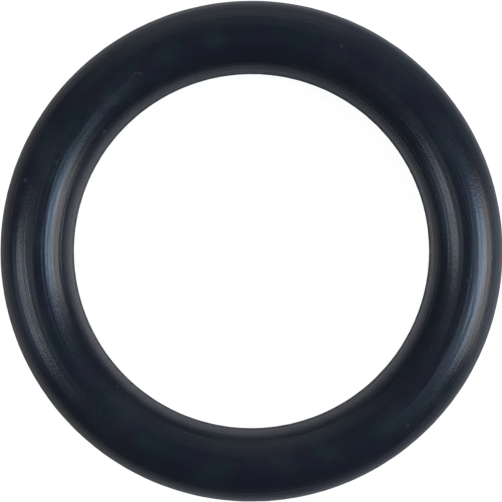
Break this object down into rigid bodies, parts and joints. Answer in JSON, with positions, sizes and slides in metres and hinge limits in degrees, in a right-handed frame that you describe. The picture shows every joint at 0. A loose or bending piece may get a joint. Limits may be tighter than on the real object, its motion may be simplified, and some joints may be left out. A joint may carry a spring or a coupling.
{
  "type": "rubber o-ring",
  "caption": "Round rubber sealing ring of circular section, with a fine line of trimmed flash round its inside and its outside.",
  "frame": {"origin": "centre of the ring, at half the height of its section", "axes": "+Z along the ring's axis, so the ring lies flat in the X-Y plane"},
  "size_m": [0.021, 0.021, 0.003],
  "materials": {
    "rubber": "satin, moulded, with a faint grain"
  },
  "bodies": {
    "root": {"o_ring": "rubber"}
  },
  "joints": []
}
